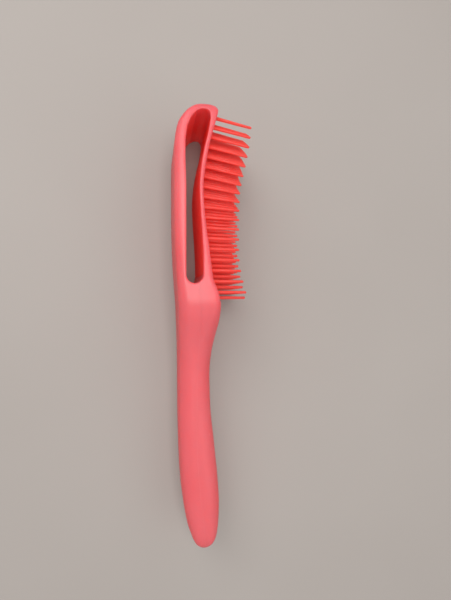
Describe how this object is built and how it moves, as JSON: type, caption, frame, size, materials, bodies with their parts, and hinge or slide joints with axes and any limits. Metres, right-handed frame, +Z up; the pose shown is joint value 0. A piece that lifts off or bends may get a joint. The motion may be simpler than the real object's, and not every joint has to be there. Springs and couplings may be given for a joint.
{
  "type": "hair brush",
  "caption": "Long-handled tunnel-vent hair brush with an open looped head, a concave bed of staggered pins and a rounded hollow handle.",
  "frame": {"origin": "on the surface that the brush lies on, under the middle of its bounding box", "axes": "+Z up, across the width of the head; +Y from the tail of the handle to the head; +X from the flat back to the pin tips"},
  "size_m": [0.0376, 0.2214, 0.047],
  "materials": {
    "shell_plastic": "satin moulded coral plastic",
    "pin_plastic": "satin moulded coral plastic, slightly translucent"
  },
  "bodies": {
    "root": {"back_shell": "shell_plastic", "front_shell": "shell_plastic", "pin_strip_1": "pin_plastic", "pin_strip_2": "pin_plastic", "pin_strip_3": "pin_plastic", "pin_strip_4": "pin_plastic", "pin_strip_5": "pin_plastic", "pin_strip_6": "pin_plastic", "pin_strip_7": "pin_plastic", "pin_strip_8": "pin_plastic", "pin_strip_9": "pin_plastic"}
  },
  "joints": []
}
